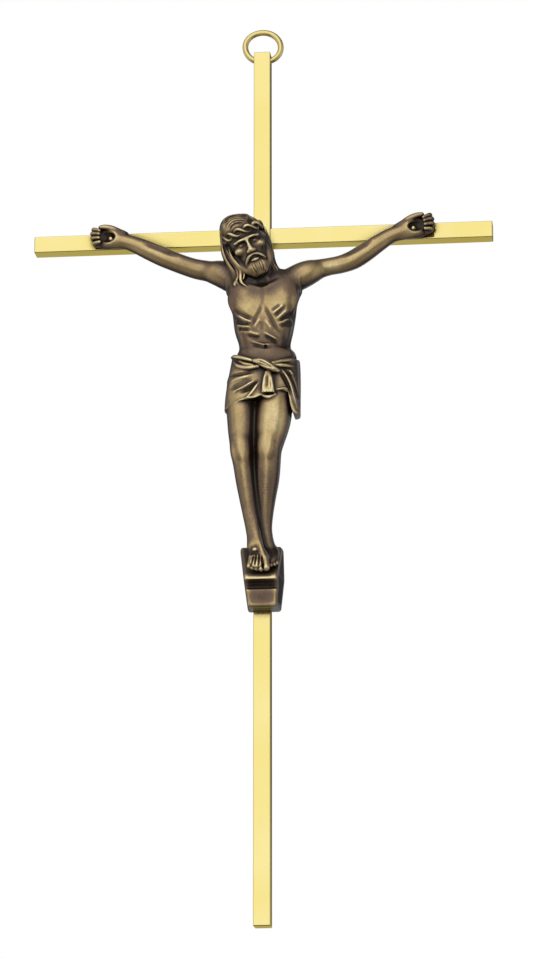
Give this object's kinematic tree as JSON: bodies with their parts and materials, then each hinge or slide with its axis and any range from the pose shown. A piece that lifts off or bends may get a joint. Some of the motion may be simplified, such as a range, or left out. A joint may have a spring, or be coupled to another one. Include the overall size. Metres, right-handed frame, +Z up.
{
  "type": "wall crucifix",
  "caption": "Wall crucifix: slender square brass bars half lapped into a cross, an antiqued cast figure nailed over a small sloping foot block, and a wire ring at the top to hang it by.",
  "frame": {"origin": "centre of the crossing, on the flat back of the bars that lies against the wall", "axes": "+X to the viewer's right, +Y to the wall, +Z up along the upright"},
  "size_m": [0.1314, 0.0231, 0.2624],
  "materials": {
    "polished_brass": "polished and lacquered",
    "ring_brass": "drawn wire, tumbled bright",
    "antique_bronze": "cast, darkened and rubbed back, lacquered",
    "nail_brass": "bright domed heads",
    "screw_steel": "zinc plated"
  },
  "bodies": {
    "cross": {"upright_bar": "polished_brass", "cross_bar": "polished_brass", "corpus": "antique_bronze", "foot_block": "antique_bronze", "left_hand_nail": "nail_brass", "right_hand_nail": "nail_brass", "foot_nail": "antique_bronze", "body_screw": "screw_steel", "block_screw": "screw_steel"},
    "ring": {"hanging_ring": "ring_brass"}
  },
  "joints": [
    {"name": "ring_swing", "type": "hinge", "parent": "cross", "child": "ring", "pos_m": [0, -0.00238, 0.0548], "axis": [1, 0, 0], "range_deg": [-146, 164]}
  ]
}
